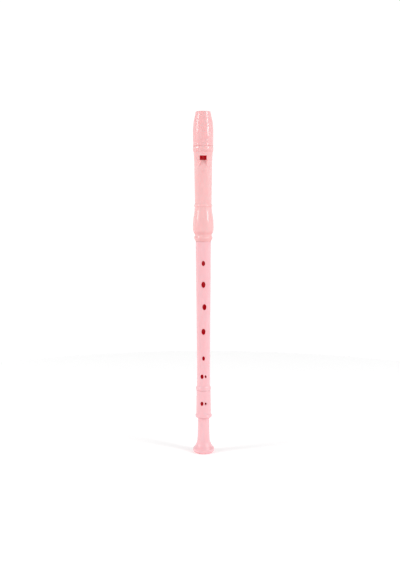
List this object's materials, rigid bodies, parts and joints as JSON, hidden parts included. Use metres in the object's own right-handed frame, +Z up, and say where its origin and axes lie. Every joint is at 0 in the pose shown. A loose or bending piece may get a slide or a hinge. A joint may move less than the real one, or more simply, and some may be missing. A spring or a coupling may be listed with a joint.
{
  "type": "soprano recorder",
  "caption": "Slim moulded soprano recorder: beak mouthpiece with windway, head with socket bulge, tapered body with seven front holes and a thumb hole, flared foot.",
  "frame": {"origin": "middle of the bell's bottom edge", "axes": "+Z up the instrument toward the beak tip; the window and the front finger holes face -Y; +X is to the right seen from the front"},
  "size_m": [0.0208, 0.0208, 0.33],
  "materials": {
    "mouthpiece": "glossy moulded plastic",
    "windway_block": "moulded plastic",
    "head_tube": "glossy moulded plastic",
    "middle_joint": "glossy moulded plastic",
    "foot_joint": "glossy moulded plastic",
    "seal": "pale soft seal"
  },
  "bodies": {
    "foot": {"foot_joint": "foot_joint"},
    "foot_seal": {"foot_seal_ring": "seal"},
    "middle": {"middle_joint": "middle_joint"},
    "head_seal": {"head_seal_ring": "seal"},
    "head": {"head_tube": "head_tube", "mouthpiece": "mouthpiece", "windway_block": "windway_block"}
  },
  "joints": [
    {"name": "foot_pull", "type": "slide", "parent": "foot", "child": "foot_seal", "axis": [0, 0, 1], "range_m": [0, 0.007]},
    {"name": "foot_turn", "type": "hinge", "parent": "foot_seal", "child": "middle", "pos_m": [0, 0, 0.0582], "axis": [0, 0, 1], "continuous": true},
    {"name": "head_turn", "type": "hinge", "parent": "middle", "child": "head_seal", "pos_m": [0, 0, 0.2198], "axis": [0, 0, 1], "continuous": true},
    {"name": "head_pull", "type": "slide", "parent": "head_seal", "child": "head", "axis": [0, 0, 1], "range_m": [0, 0.022]}
  ]
}
